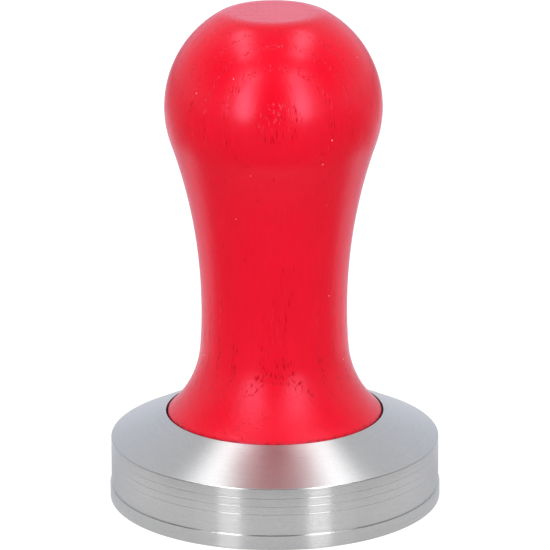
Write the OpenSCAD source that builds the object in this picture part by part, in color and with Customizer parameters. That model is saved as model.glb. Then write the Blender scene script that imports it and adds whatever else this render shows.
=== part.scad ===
// Espresso tamper: a turned steel piston with a wooden handle screwed on to it.
// Millimetres, +Z up along the axis, origin at the centre of the tamping face.

/* [Base] */
// Diameter of the band that fits the filter basket
piston_d = 58; // [53:0.5:60]
// Height of that band above the tamping face
band_h = 2.6; // [2:0.1:3.5]
// How far the wall above stands back from the band
wall_relief = 0.3; // [0.2:0.05:0.6]
// Height at which the wall turns into the cone
wall_h = 11.1; // [10:0.1:14]
// Rise of the cone from the wall to the rim of the recess
cone_rise = 4.6; // [3.5:0.1:7]
// Bevel between the wall and the cone
wall_bevel = 0.4; // [0.2:0.1:0.8]
// Number of turned lines round the wall
line_count = 3; // [1:1:3]
// Distance from one turned line to the next
line_pitch = 1.45; // [1:0.05:1.6]
// Width of a turned line
line_w = 0.3; // [0.2:0.05:0.5]

/* [Handle] */
// Diameter of the ball knob
knob_d = 37.7; // [34:0.1:40]
// Diameter of the waist, the thinnest place
waist_d = 25.4; // [22:0.1:28]
// Diameter of the foot that sits in the recess
foot_d = 37.5; // [34:0.1:40]
// Height of the waist above the foot's edge
waist_h = 18.7; // [16:0.1:22]
// Height of the knob's centre above the foot's edge
knob_h = 55.1; // [50:0.1:62]
// Height of the flat top above the knob's centre
crown_h = 16.9; // [14:0.1:16.9]
// Radius of the flare between the waist and the foot
flare_r = 17.8; // [15:0.1:20]

/* [Joint] */
// Gap between the foot and the wall of the recess
foot_gap = 0.3; // [0.2:0.05:0.6]
// Depth of the recess
recess_h = 2.5; // [1.5:0.1:3.5]
// Outer diameter of the thread
thread_d = 10; // [8:1:10]
// Climb of the thread in one turn
thread_pitch = 1.5; // [1.25:0.25:1.5]
// Turns that hold the handle on
thread_turns = 8; // [6:1:10]
// Gap between the two threads
thread_gap = 0.15; // [0.12:0.01:0.2]
// Depth of the hole that holds the stud, below the recess
stud_seat = 8.5; // [6:0.1:9]
// Width of the stud's hexagon socket across its flats
socket_w = 4; // [3:0.5:5]
// Thickness of the friction washer
washer_t = 0.5; // [0.3:0.1:1]
// Diameter of the friction washer
washer_d = 33; // [28:0.5:33]
// Diameter of the insert's barrel
insert_d = 14; // [13:0.5:16]
// Diameter of the insert's flange
flange_d = 19; // [18:0.5:20]
// Thickness of the insert's flange
flange_h = 1.2; // [0.8:0.1:1.6]

/* [Hidden] */
$fn = 96;

// Small breaks on sharp edges
edge_break = 0.15;
// Slack by which a cut runs past what it cuts
over = 1;

// Base
band_r = piston_d / 2;
wall_r = band_r - wall_relief;
band_ramp = 0.5;
first_line_z = wall_h - line_pitch - 0.3;
rim_z = wall_h + cone_rise;
rim_r = foot_d / 2 + foot_gap;
floor_z = rim_z - recess_h;
seat_z = floor_z - stud_seat;

// Stud and thread
thread_r = thread_d / 2;
thread_h = thread_turns * thread_pitch;
thread_depth = 0.6134 * thread_pitch;
thread_crest = thread_pitch / 8;
thread_steps = 24;
flank_angle = 30;
shank_r = thread_r;
neck_d = thread_d - 2 * thread_depth - 0.2;
neck_h = washer_t + 0.5;
foot_z = floor_z + washer_t;
stud_top = foot_z + thread_h;
socket_h = socket_w;

// Washer and insert
washer_gap = 0.5;
insert_h = thread_h + 2 * thread_pitch;
barb_count = 3;
barb_depth = 0.6;
barb_pitch = insert_h / (barb_count + 2);
lead_in = 0.8;
bore_end = 2;

// Handle: a ball, a neck arc and a flare arc, each crossing the next by arc_lap so that they meet cleanly
arc_lap = 0.01;
foot_r = foot_d / 2;
waist_r = waist_d / 2;
knob_r = knob_d / 2;
foot_edge = [foot_r, rim_z];
knob_c = [0, rim_z + knob_h];
top_z = knob_c.y + crown_h;
waist_z = rim_z + waist_h;

// The neck passes the waist upright and meets the ball from outside
neck_reach = knob_r - arc_lap;
neck_rise = knob_c.y - waist_z;
neck_r = (pow(waist_r, 2) + pow(neck_rise, 2) - pow(neck_reach, 2)) / (2 * (neck_reach - waist_r));
neck_c = [waist_r + neck_r, waist_z];
neck_top = knob_c + (neck_c - knob_c) * knob_r / norm(neck_c - knob_c);

// The flare meets the neck from inside and ends at the foot's edge
flare_reach = neck_r - flare_r + arc_lap;
flare_span = norm(foot_edge - neck_c);
flare_dir = (foot_edge - neck_c) / flare_span;
flare_along = (pow(flare_reach, 2) - pow(flare_r, 2) + pow(flare_span, 2)) / (2 * flare_span);
flare_aside = sqrt(pow(flare_reach, 2) - pow(flare_along, 2));
flare_c = neck_c + flare_along * flare_dir + flare_aside * [flare_dir.y, -flare_dir.x];
neck_foot = neck_c + (flare_c - neck_c) * neck_r / norm(flare_c - neck_c);

// A right-hand thread as a solid rod that is whole from z = 0 to z = h, with a turn to spare at each end
module thread_rod(r, depth, crest, h) {
  n = thread_steps;
  last = n * (ceil(h / thread_pitch) + 4);
  root = crest + 2 * depth * tan(flank_angle);
  section = [
    [r - depth, -root / 2],
    [r, -crest / 2],
    [r, crest / 2],
    [r - depth, root / 2],
  ];
  rings = [
    for (i = [0:last], s = section)
      [s.x * cos(360 * i / n), s.x * sin(360 * i / n), s.y + thread_pitch * (i / n - 2)]
  ];
  bottom = len(rings);
  top = bottom + 1;
  ends = [[0, 0, rings[0].z], [0, 0, rings[4 * last + 3].z]];
  ridge = [for (i = [0:last - 1], k = [0:2]) [4 * i + k, 4 * i + k + 1, 4 * i + k + 5, 4 * i + k + 4]];
  valley = [for (i = [0:last - n - 1]) [4 * i + 3, 4 * (i + n), 4 * (i + n + 1), 4 * (i + 1) + 3]];
  start_face = [[0, 3, 2, 1], [bottom, 4 * n, 3], [bottom, 3, 0]];
  end_face = [
    [4 * last, 4 * last + 1, 4 * last + 2, 4 * last + 3],
    [top, 4 * (last - n) + 3, 4 * last],
    [top, 4 * last, 4 * last + 3],
  ];
  bottom_fan = [for (i = [0:n - 1]) [bottom, 4 * i, 4 * (i + 1)]];
  top_fan = [for (i = [last - n:last - 1]) [top, 4 * (i + 1) + 3, 4 * i + 3]];
  polyhedron(concat(rings, ends), concat(ridge, valley, start_face, end_face, bottom_fan, top_fan));
}

module base() {
  color("silver") difference() {
    rotate_extrude() difference() {
      polygon([
        [0, 0],
        [band_r - edge_break, 0],
        [band_r, edge_break],
        [band_r, band_h],
        [wall_r, band_h + band_ramp],
        [wall_r, wall_h - wall_bevel],
        [wall_r - wall_bevel, wall_h],
        [rim_r, rim_z],
        [rim_r, floor_z],
        [0, floor_z],
      ]);
      for (k = [0:line_count - 1]) {
        translate([wall_r, first_line_z - k * line_pitch]) circle(d = line_w);
      }
    }
    translate([0, 0, seat_z]) cylinder(r = shank_r, h = stud_seat + over);
  }
}

module stud() {
  thread_z = floor_z + neck_h;
  color("dimgray") difference() {
    union() {
      translate([0, 0, seat_z]) cylinder(r = shank_r, h = stud_seat);
      translate([0, 0, floor_z - over]) cylinder(d = neck_d, h = neck_h + 2 * over);
      intersection() {
        translate([0, 0, floor_z]) thread_rod(thread_r, thread_depth, thread_crest, stud_top - floor_z);
        rotate_extrude() polygon([
          [0, thread_z],
          [neck_d / 2, thread_z],
          [thread_r + over, thread_z + thread_r + over - neck_d / 2],
          [thread_r + over, stud_top - thread_depth - over],
          [thread_r - thread_depth, stud_top],
          [0, stud_top],
        ]);
      }
    }
    translate([0, 0, stud_top - socket_h]) cylinder(d = socket_w / cos(30), h = socket_h + over, $fn = 6);
  }
}

module friction_washer() {
  color("whitesmoke") translate([0, 0, floor_z]) difference() {
    cylinder(d = washer_d, h = washer_t);
    translate([0, 0, -over]) cylinder(r = thread_r + washer_gap, h = washer_t + 2 * over);
  }
}

module threaded_insert() {
  bore_r = thread_r + thread_gap;
  color("goldenrod") translate([0, 0, foot_z]) difference() {
    rotate_extrude() difference() {
      polygon([
        [0, 0],
        [flange_d / 2, 0],
        [flange_d / 2, flange_h],
        [insert_d / 2, flange_h],
        [insert_d / 2, insert_h],
        [0, insert_h],
      ]);
      for (k = [1:barb_count]) {
        translate([insert_d / 2, flange_h + k * barb_pitch]) circle(r = barb_depth);
      }
    }
    translate([0, 0, -washer_t]) thread_rod(
      bore_r,
      thread_depth,
      thread_crest + 2 * thread_gap * tan(flank_angle),
      insert_h + 2 * thread_pitch
    );
    translate([0, 0, -over]) cylinder(r1 = bore_r + over, r2 = bore_r - lead_in, h = over + lead_in);
  }
}

module handle() {
  color("crimson") difference() {
    rotate_extrude() {
      intersection() {
        translate(knob_c) circle(knob_r);
        translate([0, waist_z]) square([knob_d, top_z - waist_z]);
      }
      difference() {
        polygon([
          [0, foot_z],
          [foot_r - edge_break, foot_z],
          [foot_r, foot_z + edge_break],
          [foot_r, neck_top.y],
          [0, neck_top.y],
        ]);
        intersection() {
          translate(neck_c) circle(neck_r, $fn = 720);
          translate([0, neck_foot.y]) square([neck_r, neck_rise + waist_h]);
        }
        translate(flare_c) circle(flare_r, $fn = 360);
      }
    }
    translate([0, 0, foot_z - over]) cylinder(d = flange_d, h = flange_h + over);
    translate([0, 0, foot_z - over]) cylinder(d = insert_d, h = insert_h + over + bore_end);
  }
}

base();
stud();
friction_washer();
threaded_insert();
handle();
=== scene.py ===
import math

import bpy
from mathutils import Matrix, Vector


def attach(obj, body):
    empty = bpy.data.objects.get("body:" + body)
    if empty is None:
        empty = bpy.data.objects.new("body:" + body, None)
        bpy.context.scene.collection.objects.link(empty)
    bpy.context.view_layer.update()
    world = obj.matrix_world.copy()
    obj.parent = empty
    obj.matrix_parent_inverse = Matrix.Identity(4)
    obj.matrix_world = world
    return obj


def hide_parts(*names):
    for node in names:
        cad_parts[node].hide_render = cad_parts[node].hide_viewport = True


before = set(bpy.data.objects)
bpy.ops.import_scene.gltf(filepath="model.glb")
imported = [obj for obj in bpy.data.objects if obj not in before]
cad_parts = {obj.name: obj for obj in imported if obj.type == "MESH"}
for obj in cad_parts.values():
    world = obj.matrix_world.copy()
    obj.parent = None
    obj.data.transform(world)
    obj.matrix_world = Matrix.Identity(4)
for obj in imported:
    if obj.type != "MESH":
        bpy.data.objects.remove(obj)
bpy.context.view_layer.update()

MM = 0.001

# Sizes in mm, as in part.scad, but with finer edges and turned lines

BAND_R, BAND_H, BAND_RAMP = 28.94, 2.6, 0.04
WALL_R, WALL_H, WALL_BEVEL = 28.7, 11.1, 0.14
CONE_RISE = 4.6
RIM_R, RECESS_H = 19.05, 2.5
SEAT_R, SEAT_H = 5.0, 8.5
EDGE = 0.15
# A turned line: the radius of its cut, its width, and how far from its middle the wall is held flat
LINE_R, LINE_W, LINE_HOLD = 0.25, 0.16, 0.12
# The turned lines: how many, how far the top one lies below the cone, and from one to the next
LINE_COUNT, LINE_DROP, LINE_PITCH = 3, 1.75, 1.45

FOOT_R, WASHER_H = 18.75, 0.5
FLANGE_R, FLANGE_H = 9.5, 1.2
BORE_R, BORE_H = 7.0, 17.0
WAIST_R, WAIST_H = 12.7, 18.7
KNOB_R, KNOB_H, CROWN_H = 18.85, 55.1, 16.9
FLARE_R = 17.8

# Heights above the tamping face in mm

RIM_Z = WALL_H + CONE_RISE
FLOOR_Z = RIM_Z - RECESS_H
SEAT_Z = FLOOR_Z - SEAT_H
FOOT_Z = FLOOR_Z + WASHER_H
FLANGE_Z = FOOT_Z + FLANGE_H
BORE_Z = FOOT_Z + BORE_H
WAIST_Z = RIM_Z + WAIST_H
KNOB_Z = RIM_Z + KNOB_H
TOP_Z = KNOB_Z + CROWN_H

# How far the softening of a corner reaches on each side, in mm

RIM_SOFT = 0.12
BEVEL_SOFT = 0.05
BAND_SOFT = 0.06
CROWN_SOFT = 1.5
FOOT_SOFT = 0.35

# How finely the meshes are cut

TURNS = 192
LINE_STEPS = 8
BASE_CORNER_STEPS = 8
FLARE_STEPS = 28
NECK_STEPS = 48
KNOB_STEPS = 52
CROWN_STEPS = 10
FOOT_STEPS = 6
# Rings of points on the flat top, as shares of its radius
CROWN_RINGS = (0.8, 0.55, 0.3, 0)
SHARP = math.radians(20)
# A radius under this counts as on the axis
ON_AXIS = 1e-6


# Shapes

def arc(centre, radius, start, end, steps):
    """Points on a circle from the angle start to the angle end, both in radians."""
    return [
        Vector((centre[0] + radius * math.cos(a), centre[1] + radius * math.sin(a)))
        for a in (start + (end - start) * i / steps for i in range(steps + 1))
    ]


def along(points, start, step, reach):
    """Index and place where a walk of length reach along the points, from index start, ends."""
    i = start
    while 0 <= i + step < len(points):
        span = (points[i + step] - points[i]).length
        if span > reach:
            return i + step, points[i].lerp(points[i + step], reach / span)
        reach -= span
        i += step
    return i, points[i].copy()


def round_corner(points, corner, reach, steps):
    """The points with the corner at that place softened over a length of reach on each side."""
    at = min(range(len(points)), key=lambda i: (points[i] - Vector(corner)).length)
    # one more point before and after the bend keeps the shading of the long faces beside it flat
    hold = 1.5 * reach
    low, before = along(points, at, -1, hold)
    high, after = along(points, at, 1, hold)
    _, a = along(points, at, -1, reach)
    _, b = along(points, at, 1, reach)
    bend = [before]
    for i in range(steps + 1):
        t = i / steps
        bend.append(a.lerp(points[at], t).lerp(points[at].lerp(b, t), t))
    return points[: low + 1] + bend + [after] + points[high:]


def lathe(name, points):
    """A solid of revolution round Z from (radius, height) points in mm, which start and end on the axis."""
    verts, rings = [], []
    for r, z in points:
        if r < ON_AXIS:
            rings.append([len(verts)] * TURNS)
            verts.append((0, 0, z * MM))
            continue
        rings.append(list(range(len(verts), len(verts) + TURNS)))
        for k in range(TURNS):
            a = 2 * math.pi * (k + 0.5) / TURNS
            verts.append((r * math.cos(a) * MM, r * math.sin(a) * MM, z * MM))
    faces = []
    for low, high in zip(rings, rings[1:]):
        for k in range(TURNS):
            after = (k + 1) % TURNS
            face = [low[k], low[after], high[after], high[k]]
            # on the axis two corners are one point, and the face is a triangle
            faces.append([v for i, v in enumerate(face) if v not in face[:i]])
    mesh = bpy.data.meshes.new(name)
    mesh.from_pydata(verts, [], faces)
    mesh.polygons.foreach_set("use_smooth", [True] * len(mesh.polygons))
    mesh.set_sharp_from_angle(angle=SHARP)
    obj = bpy.data.objects.new(name, mesh)
    bpy.context.scene.collection.objects.link(obj)
    return obj


def base_profile():
    # each turned line is a shallow round cut, with a point beside it that keeps the wall's shading flat
    half = math.asin(LINE_W / 2 / LINE_R)
    wall = []
    for k in reversed(range(LINE_COUNT)):
        z = WALL_H - LINE_DROP - k * LINE_PITCH
        middle = (WALL_R + LINE_R * math.cos(half), z)
        cut = arc(middle, LINE_R, math.pi + half, math.pi - half, LINE_STEPS)
        wall += [(WALL_R, z - LINE_HOLD), *cut, (WALL_R, z + LINE_HOLD)]
    rim = (RIM_R, RIM_Z)
    bevel_top = (WALL_R - WALL_BEVEL, WALL_H)
    bevel_foot = (WALL_R, WALL_H - WALL_BEVEL)
    ledge_inside = (WALL_R, BAND_H + BAND_RAMP)
    ledge_outside = (BAND_R, BAND_H)
    edge_top = (BAND_R, EDGE)
    edge_foot = (BAND_R - EDGE, 0)
    points = [
        (0, 0), edge_foot, edge_top, ledge_outside, ledge_inside, *wall, bevel_foot, bevel_top, rim,
        (RIM_R, FLOOR_Z), (SEAT_R, FLOOR_Z), (SEAT_R, SEAT_Z), (0, SEAT_Z),
    ]
    points = [Vector(p) for p in points]
    points = round_corner(points, rim, RIM_SOFT, BASE_CORNER_STEPS)
    for corner in (bevel_top, bevel_foot):
        points = round_corner(points, corner, BEVEL_SOFT, BASE_CORNER_STEPS)
    for corner in (ledge_inside, ledge_outside, edge_top, edge_foot):
        points = round_corner(points, corner, BAND_SOFT, BASE_CORNER_STEPS)
    return points


def angle(centre, point):
    """The direction from centre to point, from 0 up to a full turn in radians."""
    return math.atan2(point[1] - centre[1], point[0] - centre[0]) % (2 * math.pi)


def handle_profile():
    # the neck passes the waist upright and touches the knob from outside
    rise = KNOB_Z - WAIST_Z
    neck_r = (WAIST_R ** 2 + rise ** 2 - KNOB_R ** 2) / (2 * (KNOB_R - WAIST_R))
    neck_c = Vector((WAIST_R + neck_r, WAIST_Z))
    knob_c = Vector((0, KNOB_Z))
    # the flare touches the neck from inside and ends at the foot's edge
    foot = Vector((FOOT_R, RIM_Z))
    reach = neck_r - FLARE_R
    span = (foot - neck_c).length
    way = (foot - neck_c) / span
    near = (reach ** 2 - FLARE_R ** 2 + span ** 2) / (2 * span)
    aside = math.sqrt(reach ** 2 - near ** 2)
    flare_c = neck_c + near * way + aside * Vector((way.y, -way.x))

    flare_end = angle(neck_c, flare_c)
    neck_end = angle(neck_c, knob_c)
    # the knob starts below its middle, at an angle under zero
    knob_start = angle(knob_c, neck_c) - 2 * math.pi
    crown = math.asin((TOP_Z - KNOB_Z) / KNOB_R)
    points = [
        (0, BORE_Z), (BORE_R, BORE_Z), (BORE_R, FLANGE_Z), (FLANGE_R, FLANGE_Z), (FLANGE_R, FOOT_Z),
        (FOOT_R - EDGE, FOOT_Z), (FOOT_R, FOOT_Z + EDGE),
    ]
    points = [Vector(p) for p in points]
    points += arc(flare_c, FLARE_R, angle(flare_c, foot), flare_end, FLARE_STEPS)
    points += arc(neck_c, neck_r, flare_end, neck_end, NECK_STEPS)[1:]
    points += arc(knob_c, KNOB_R, knob_start, crown, KNOB_STEPS)[1:]
    edge = points[-1].copy()
    points += [Vector((edge.x * share, TOP_Z)) for share in CROWN_RINGS]
    points = round_corner(points, edge, CROWN_SOFT, CROWN_STEPS)
    return round_corner(points, foot, FOOT_SOFT, FOOT_STEPS)


# Materials

class Nodes:
    """Short calls for building one material's or world's node tree."""

    def __init__(self, owner):
        owner.use_nodes = True
        self.tree = owner.node_tree
        self.tree.nodes.clear()

    def fill(self, made, sockets):
        for key, value in sockets.items():
            if isinstance(value, bpy.types.NodeSocket):
                self.tree.links.new(value, made.inputs[key])
            else:
                made.inputs[key].default_value = value

    def add(self, kind, sockets=None, **settings):
        made = self.tree.nodes.new("ShaderNode" + kind)
        for key, value in settings.items():
            setattr(made, key, value)
        self.fill(made, sockets or {})
        return made

    def math(self, operation, a, b=0.0):
        return self.add("Math", {0: a, 1: b}, operation=operation).outputs[0]

    def plus(self, a, b):
        return self.math("ADD", a, b)

    def minus(self, a, b):
        return self.math("SUBTRACT", a, b)

    def times(self, a, b):
        return self.math("MULTIPLY", a, b)

    def most(self, a, b):
        return self.math("MAXIMUM", a, b)

    def blend(self, a, b, share):
        """That share of a, and the rest from b."""
        return self.plus(self.times(a, share), self.times(b, 1 - share))

    def vector(self, operation, a, b=(0, 0, 0)):
        return self.add("VectorMath", {0: a, 1: b}, operation=operation).outputs[0]

    def length(self, vector):
        return self.add("VectorMath", {0: vector}, operation="LENGTH").outputs["Value"]

    def split(self, vector):
        return self.add("SeparateXYZ", {0: vector}).outputs

    def span(self, value, low, high, to_low=0.0, to_high=1.0, smooth=True):
        """From to_low, where the value is low or past it, to to_high, where it is high or past it."""
        kind = "SMOOTHSTEP" if smooth else "LINEAR"
        sockets = {"Value": value, "From Min": low, "From Max": high, "To Min": to_low, "To Max": to_high}
        return self.add("MapRange", sockets, interpolation_type=kind).outputs[0]

    def noise(self, vector, scale=1.0, detail=2.0, roughness=0.5):
        sockets = {"Vector": vector, "Scale": scale, "Detail": detail, "Roughness": roughness}
        return self.add("TexNoise", sockets).outputs[0]

    def mix(self, factor, a, b):
        """The colour a where the factor is 0, and b where it is 1."""
        made = self.add("Mix", data_type="RGBA")
        self.fill(made, {0: factor, 6: a, 7: b})
        return made.outputs[2]

    def bump(self, height, strength, depth):
        """Normals for a relief with that depth in mm."""
        return self.add("Bump", {"Height": height, "Strength": strength, "Distance": depth * MM}).outputs[0]

    def place(self):
        """The place on the object in mm."""
        coords = self.add("TexCoord").outputs["Object"]
        return self.vector("MULTIPLY", coords, (1 / MM,) * 3)

    def out(self, shader, kind="OutputMaterial"):
        self.tree.links.new(shader.outputs[0], self.add(kind).inputs["Surface"])


def material(name):
    made = bpy.data.materials.new(name)
    return made, Nodes(made)


# Most of a noise's values lie between these two
NOISE_LOW, NOISE_HIGH = 0.3, 0.7

STEEL, STEEL_DARK = (0.545, 0.547, 0.552, 1), (0.45, 0.451, 0.455, 1)
STUD, STUD_DARK = (0.45, 0.45, 0.46, 1), (0.3, 0.3, 0.31, 1)
BRASS, BRASS_DARK = (0.8, 0.58, 0.24, 1), (0.62, 0.42, 0.15, 1)


def turned_metal(name, colour, dark, rough, brushed, line_scale):
    made, n = material(name)
    place = n.place()
    flat = n.vector("MULTIPLY", place, (1, 1, 0))
    radius = n.length(flat)
    z = n.split(place)[2]
    outline = n.minus(radius, z)

    def lines_round(round_scale, outline_scale, detail, roughness):
        # lines run round the axis: they change fast along the outline and slowly round it
        around = n.vector("MULTIPLY", n.vector("NORMALIZE", flat), (round_scale, round_scale, 0))
        fast = n.add("CombineXYZ", {2: n.times(outline, outline_scale)}).outputs[0]
        return n.noise(n.vector("ADD", around, fast), detail=detail, roughness=roughness)

    fine = lines_round(round_scale=1.3, outline_scale=line_scale, detail=3.0, roughness=0.6)
    broad = lines_round(round_scale=5.2, outline_scale=0.22 * line_scale, detail=2.0, roughness=0.5)
    grain = n.noise(place, scale=4.0, roughness=0.7)
    smudge = n.noise(place, scale=0.09)
    lines = n.blend(fine, broad, 0.7)
    marks = n.blend(lines, grain, 0.5)
    wear = n.blend(lines, smudge, 0.6)
    uneven = n.span(wear, NOISE_LOW, NOISE_HIGH, 0.9, 1.1)
    n.out(n.add("BsdfPrincipled", {
        "Base Color": n.mix(n.span(marks, NOISE_LOW, NOISE_HIGH), dark, colour),
        "Roughness": n.times(uneven, rough),
        "Normal": n.bump(lines, 0.15, depth=0.01),
        "Tangent": n.add("Tangent", direction_type="RADIAL", axis="Z").outputs[0],
        "Metallic": 1.0,
        "Anisotropic": brushed,
        "Anisotropic Rotation": 0.25,
    }))
    return made


RED, RED_DEEP, RED_EARLY = (0.86, 0.0006, 0.015, 1), (0.75, 0.0002, 0.012, 1), (0.7, 0.0002, 0.008, 1)
# the dark pore colour also paints the shade at the foot's edge
PORE_DARK_AND_FOOT_SHADE, PORE_FILLED_PAINTED_GLINT = (0.3, 0.0002, 0.004, 1), (0.84, 0.022, 0.05, 1)
DUST = (0.85, 0.6, 0.6, 1)

# Growth rings in mm: from one to the next, and how far in front of the axis they are counted from
RING_PITCH, RING_START = 2.4, 110.2
# The height in mm above which they lean back
LEAN_START = 45.0
# Early wood: how far it reaches from the middle of a ring, as a share of the pitch
EARLY_END, EARLY_FULL = 0.2, 0.08
# Pores and fibres: how many lie in 1 mm across, across and up
PORES_PER_MM = (3.2, 3.2, 0.6)
FIBRES_PER_MM = (3.0, 3.0, 0.12)

# Heights on the handle in mm: each look comes in from the first to the second
# where the painted shade at the foot's edge fades in
FOOT_PAINTED_SHADE = (16.2, 15.6)
FOOT_SPARSE = (24, 20)
END_GRAIN = (31, 21)
FLARE_DENSE = (36, 30)
PORES_FILL = (27, 34)
EARLY_SUNK = (30, 36)
NECK_FOOT, NECK_TOP = (35, 41), (68, 63)


def lacquered_wood(name):
    made, n = material(name)
    place = n.place()
    x, y, z = n.split(place)
    # growth rings stand upright across the line of sight, lean back near the top, and wander
    wander = n.noise(n.vector("MULTIPLY", place, (0.05, 0.05, 0.022)), detail=1.0)
    lean = n.math("POWER", n.most(n.minus(z, LEAN_START), 0.0), 2.0)
    shift = n.plus(n.times(lean, 0.00185), n.times(x, 0.047))
    depth = n.plus(y, n.times(n.minus(wander, 0.5), 0.8))
    ring = n.math("FRACT", n.math("DIVIDE", n.plus(n.minus(depth, shift), RING_START), RING_PITCH))
    early = n.span(n.math("ABSOLUTE", n.minus(ring, 0.5)), EARLY_END, EARLY_FULL)

    # pores: long thin cells, many in patches of the early wood, most on the flare, few on the neck and foot
    cells = n.add("TexVoronoi", {"Vector": n.vector("MULTIPLY", place, PORES_PER_MM), "Scale": 1.0})
    pick, other = n.add("SeparateColor", {0: cells.outputs["Color"]}).outputs[:2]
    patch = n.span(n.noise(place, scale=0.09, detail=1.0), 0.34, 0.56)
    neck = n.times(n.span(z, *NECK_FOOT), n.span(z, *NECK_TOP))
    patch = n.times(patch, n.minus(1.0, n.times(neck, 0.85)))
    patch = n.most(patch, n.span(z, *FLARE_DENSE, 0, 0.75))
    patch = n.times(patch, n.span(z, *FOOT_SPARSE, 1, 0.15))
    chance = n.span(n.times(early, patch), 0, 1, 0.01, 0.85, smooth=False)
    pore = n.times(n.span(cells.outputs["Distance"], 0.5, 0.12), n.math("LESS_THAN", pick, chance))
    # on the flare pores are hollow, dark and hardly glossy, and above it about half are filled and glossy,
    # with a pale pink colour that is a painted glint
    filled = n.times(n.math("LESS_THAN", other, 0.55), n.span(z, *PORES_FILL))
    hollow = n.times(pore, n.minus(1.0, filled))

    # fibres show faintly through the lacquer
    fibre = n.noise(n.vector("MULTIPLY", place, FIBRES_PER_MM), detail=3.0, roughness=0.6)
    cloud = n.noise(place, scale=0.07)
    # a few grains of dust are set in the lacquer
    dust = n.add("TexVoronoi", {"Vector": place, "Scale": 0.24})
    speck = n.span(dust.outputs["Distance"], 0.03, 0.02)
    # the foot's edge is darker, a painted shade where the foot sits down in the recess, broken into specks
    # by noise
    shade_specks = n.span(n.noise(n.vector("MULTIPLY", place, (1.0, 1.0, 0.5)), scale=1.3), 0.5, 0.6)
    edge = n.times(n.span(z, *FOOT_PAINTED_SHADE), n.span(shade_specks, 0, 1, 0.3, 0.8))
    red = n.mix(n.span(n.plus(fibre, cloud), 0.4, 1.6), RED_DEEP, RED)
    red = n.mix(n.times(early, 0.1), red, RED_EARLY)
    # filled pores take a pale pink, a painted glint
    inside = n.mix(filled, PORE_DARK_AND_FOOT_SHADE, PORE_FILLED_PAINTED_GLINT)
    red = n.mix(n.times(pore, n.span(z, *PORES_FILL, 0.7, 0.4)), red, inside)
    # painted shade at the foot's edge
    red = n.mix(edge, red, PORE_DARK_AND_FOOT_SHADE)
    red = n.mix(n.times(speck, 0.8), red, DUST)

    # the lacquer follows the fibres, sinks over early wood and pores, and is uneven on the flare
    peel = n.noise(place, scale=1.1)
    skin = n.plus(n.times(fibre, 0.22), n.times(peel, 0.05))
    skin = n.minus(skin, n.times(early, n.span(z, *EARLY_SUNK, 0, 0.07)))
    ends = n.times(n.noise(place, scale=6.0, detail=1.0), n.span(z, *END_GRAIN, 0, 0.6))
    height = n.minus(n.plus(skin, ends), n.times(pore, 0.5))
    n.out(n.add("BsdfPrincipled", {
        "Base Color": red,
        "Roughness": n.span(cloud, NOISE_LOW, NOISE_HIGH, 0.245, 0.265),
        "Normal": n.bump(height, 1.0, depth=0.08),
        "IOR": 1.43,
        "Specular IOR Level": n.span(hollow, 0, 1, 0.5, 0.08, smooth=False),
        "Specular Tint": (1, 0.65, 1, 1),
        "Sheen Weight": 0.1,
        "Sheen Roughness": 0.35,
        "Sheen Tint": (0.5, 0, 1, 1),
    }))
    return made


NYLON, NYLON_DARK = (0.84, 0.83, 0.79, 1), (0.74, 0.72, 0.66, 1)


def nylon(name):
    made, n = material(name)
    place = n.place()
    mottle = n.noise(place, scale=0.6, detail=3.0)
    grain = n.noise(place, scale=6.0)
    n.out(n.add("BsdfPrincipled", {
        "Base Color": n.mix(mottle, NYLON_DARK, NYLON),
        "Roughness": n.span(grain, 0.2, 0.8, 0.45, 0.6),
        "Normal": n.bump(grain, 0.25, depth=0.03),
        "IOR": 1.53,
    }))
    return made


# Pieces

def dress(obj, mat):
    """Give the whole object that material."""
    if not obj.material_slots:
        obj.data.materials.append(mat)
    for part in obj.material_slots:
        part.material = mat


base = lathe("base_turned", base_profile())
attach(base, "piston")
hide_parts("base")
dress(base, turned_metal("turned_steel", STEEL, STEEL_DARK, rough=0.22, brushed=1.0, line_scale=9.0))
# the cone has a rougher finish than the wall
cone = turned_metal("turned_steel_cone", STEEL, STEEL_DARK, rough=0.35, brushed=0.85, line_scale=9.0)
base.data.materials.append(cone)
for face in base.data.polygons:
    face.material_index = int(face.center.z > WALL_H * MM)

handle = lathe("handle_turned", handle_profile())
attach(handle, "grip")
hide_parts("handle")
dress(handle, lacquered_wood("lacquered_wood"))

stud_steel = turned_metal("stud_steel", STUD, STUD_DARK, rough=0.38, brushed=0.5, line_scale=5.0)
dress(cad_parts["stud"], stud_steel)
brass = turned_metal("brass", BRASS, BRASS_DARK, rough=0.33, brushed=0.5, line_scale=5.0)
dress(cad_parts["threaded_insert"], brass)
dress(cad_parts["friction_washer"], nylon("nylon"))


# Stage, light and camera, in metres

WHITE = (1, 1, 1, 1)
# The backdrop's white is a little cooler than the soft boxes
COOL = (0.95, 0.985, 1.08, 1)
# The floor's grey as it lights the object, and as it is seen
CARD, PALE = (0.55, 0.55, 0.55, 1), (0.4, 0.4, 0.4, 1)
FLOOR_HALF = 4.0
FLOOR_DROP = 0.02 * MM

# Places on the floor in metres, out from the axis: each look changes from the first to the second
# the halo is a painted pool of light seen only in mirrors, and at its inside it fades to a painted contact
# shadow
HALO_OUTSIDE, HALO_CONTACT_SHADE = (0.072, 0.054), (0.03, 0.052)
SWEEP_OUTSIDE, SHOWN_OUTSIDE = (0.17, 0.09), (0.1, 0.6)
# The same behind the axis, and to either side
HALO_BEHIND, SWEEP_BEHIND = (-0.015, 0.02), (0.0, 0.045)
FAR_BEHIND, COOL_BEHIND = (0.03, 0.16), (-0.03, 0.03)
FAR_ASIDE = (0.1, 0.2)

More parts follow.
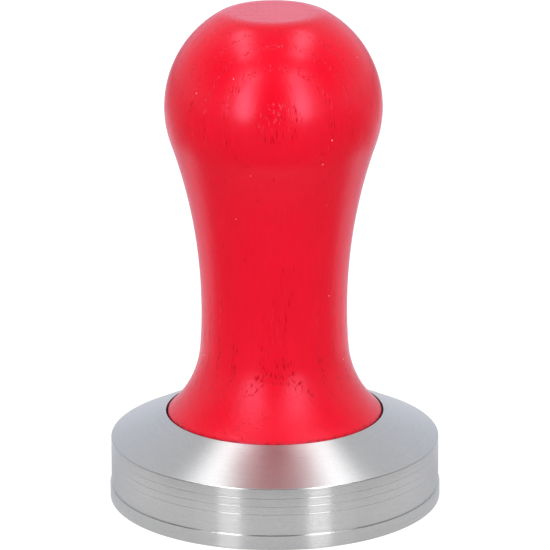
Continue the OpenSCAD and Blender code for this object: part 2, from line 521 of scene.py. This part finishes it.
# The same for the surroundings, as parts of a direction of length 1: away, up and to either side
SCREEN_AWAY, SCREEN_UP, SCREEN_ASIDE = (0.3, 0.7), (0.6, 0.4), (0.28, 0.1)
ROOM_AWAY, ROOM_UP, ROOM_ASIDE = (-0.8, 0.6), (0.2, 0.7), (0.5, 0.85)
FILL_AWAY, FILL_UP, FILL_ASIDE = (-0.8, 0.2), (0, 0.6), (0.3, 0.9)
CEILING_UP, COOL_AWAY = (0.4, 1.0), (0.4, 0.95)


def rays(n):
    """For a camera ray, and for a ray that shows the background in a mirror or through glass."""
    path = n.add("LightPath").outputs
    return path["Is Camera Ray"], n.most(path["Is Glossy Ray"], path["Is Transmission Ray"])


def floor_material():
    made, n = material("floor")
    straight, mirrored = rays(n)
    geometry = n.add("NewGeometry").outputs
    across, depth, _ = n.split(geometry["Position"])
    reach = n.length(geometry["Position"])
    # in a mirror the floor is white towards the backdrop and dim elsewhere, with a painted pool of light
    # round the object that fades to a painted contact shadow right at the base
    halo = n.times(n.span(reach, *HALO_OUTSIDE, 0, 0.9), n.span(reach, *HALO_CONTACT_SHADE, 0.64, 1))
    halo = n.times(halo, n.span(depth, *HALO_BEHIND, 1, 0.6))
    sweep = n.times(n.span(depth, *SWEEP_BEHIND, 0, 0.75), n.span(reach, *SWEEP_OUTSIDE))
    aside = n.span(n.math("ABSOLUTE", across), *FAR_ASIDE, 1, 0.4)
    far = n.times(n.span(depth, *FAR_BEHIND, 0, 0.62), aside)
    rise = n.most(n.most(far, sweep), halo)
    shown = n.span(reach, *SHOWN_OUTSIDE, 0.84, 1.0)
    glow = n.plus(n.times(straight, shown), n.times(mirrored, rise))
    tint = n.mix(n.times(mirrored, n.span(depth, *COOL_BEHIND)), WHITE, COOL)
    white = n.add("Emission", {"Color": tint, "Strength": glow}).outputs[0]
    pale = n.add("BsdfDiffuse", {"Color": PALE}).outputs[0]
    lit = n.add("AddShader", {0: pale, 1: white}).outputs[0]
    card = n.add("BsdfDiffuse", {"Color": CARD}).outputs[0]
    top = n.add("MixShader", {0: n.most(straight, mirrored), 1: card, 2: lit}).outputs[0]
    # the underside lets a camera below the floor look through
    clear = n.add("BsdfTransparent").outputs[0]
    n.out(n.add("MixShader", {0: geometry["Backfacing"], 1: top, 2: clear}))
    return made


def floor():
    signs = [(-1, -1), (1, -1), (1, 1), (-1, 1)]
    corners = [(x * FLOOR_HALF, y * FLOOR_HALF, -FLOOR_DROP) for x, y in signs]
    mesh = bpy.data.meshes.new("floor")
    mesh.from_pydata(corners, [], [(0, 1, 2, 3)])
    obj = bpy.data.objects.new("floor", mesh)
    bpy.context.scene.collection.objects.link(obj)
    obj.data.materials.append(floor_material())


def surroundings():
    world = bpy.data.worlds.new("studio")
    bpy.context.scene.world = world
    n = Nodes(world)
    straight, mirrored = rays(n)
    across, away, up = n.split(n.add("TexCoord").outputs["Generated"])
    aside = n.math("ABSOLUTE", across)
    # behind the object stands the white backdrop, above it a pale ceiling, in front of it the dimmer room
    screen = n.times(n.span(away, *SCREEN_AWAY), n.span(up, *SCREEN_UP))
    screen = n.times(n.span(aside, *SCREEN_ASIDE), screen)
    room = n.most(n.span(away, *ROOM_AWAY, 0.13, 0.9), n.span(up, *CEILING_UP, 0.13, 0.66))
    room = n.times(room, n.span(up, *ROOM_UP, 0.93, 1.06))
    room = n.times(room, n.span(aside, *ROOM_ASIDE, 1.0, 0.7))
    room = n.plus(room, n.times(screen, 0.3))
    # the soft fill comes from low down, most of it from the sides and the back
    fill = n.times(n.span(up, *FILL_UP, 1.47, 0.0), n.span(away, *FILL_AWAY, 0.3, 1.0))
    fill = n.times(fill, n.span(aside, *FILL_ASIDE, 0.95, 1.95))
    plain = n.minus(1.0, n.most(straight, mirrored))
    strength = n.plus(n.times(mirrored, room), n.times(plain, fill))
    strength = n.plus(strength, straight)
    tint = n.mix(n.times(mirrored, n.span(away, *COOL_AWAY)), WHITE, COOL)
    n.out(n.add("Background", {"Color": tint, "Strength": strength}), "OutputWorld")


# The place that the soft boxes face
TARGET = Vector((0, 0, 0.045))


def panel(name, way, far, width, height, radiance):
    """A soft box that far away in that direction, facing the object; its radiance is in units of white."""
    light = bpy.data.lights.new(name, "AREA")
    light.shape = "RECTANGLE"
    light.size = width
    light.size_y = height
    light.energy = radiance * math.pi * width * height
    obj = bpy.data.objects.new(name, light)
    bpy.context.scene.collection.objects.link(obj)
    way = Vector(way).normalized()
    obj.location = TARGET + way * far
    obj.rotation_euler = way.to_track_quat("Z", "Y").to_euler()
    obj.visible_camera = False


def polar(azimuth, elevation):
    """A direction from angles in degrees: azimuth 0 is towards the viewer, and 90 to the right."""
    a, e = math.radians(azimuth), math.radians(elevation)
    return math.sin(a) * math.cos(e), -math.cos(a) * math.cos(e), math.sin(e)


# How high the soft boxes stand, in degrees
FRONT_UP, FRONT_TOP_UP, SKIRT_UP = 15.0, 39.5, 24.5
# Azimuths in degrees, and a direction overhead: the two sides differ a little, as in the photo
SIDES = (
    {"label": "left", "front": -31.2, "skirt": -47, "over": (-0.405, 0.0, 0.915)},
    {"label": "right", "front": 30.4, "skirt": 47, "over": (0.392, 0.0, 0.915)},
)

floor()
surroundings()
for side in SIDES:
    label, front, skirt = side["label"], side["front"], side["skirt"]
    panel(f"front_{label}", polar(front, FRONT_UP), far=1.0, width=0.265, height=0.46, radiance=6.6)
    panel(f"front_top_{label}", polar(front, FRONT_TOP_UP), far=1.0, width=0.265, height=0.42, radiance=4.4)
    panel(f"skirt_{label}", polar(skirt, SKIRT_UP), far=1.0, width=0.3, height=0.82, radiance=0.8)
    panel(f"over_{label}", side["over"], far=0.7, width=0.45, height=0.142, radiance=4.75)

# The camera, fitted to the photo's outline: sensor and lens in mm, place in metres
CAMERA_SENSOR, CAMERA_LENS = 36, 370.6
CAMERA_PLACE = (0.000145, -0.937494, 0.340907)
CAMERA_DOWN = math.radians(17.779)
CAMERA_ROLL = math.radians(-0.2312)

camera = bpy.data.objects.new("camera", bpy.data.cameras.new("camera"))
bpy.context.scene.collection.objects.link(camera)
camera.data.sensor_width = CAMERA_SENSOR
camera.data.lens = CAMERA_LENS
camera.matrix_world = (
    Matrix.Translation(CAMERA_PLACE)
    @ Matrix.Rotation(math.pi / 2 - CAMERA_DOWN, 4, "X")
    @ Matrix.Rotation(CAMERA_ROLL, 4, "Z")
)
bpy.context.scene.camera = camera
bpy.context.scene.view_settings.view_transform = "Standard"
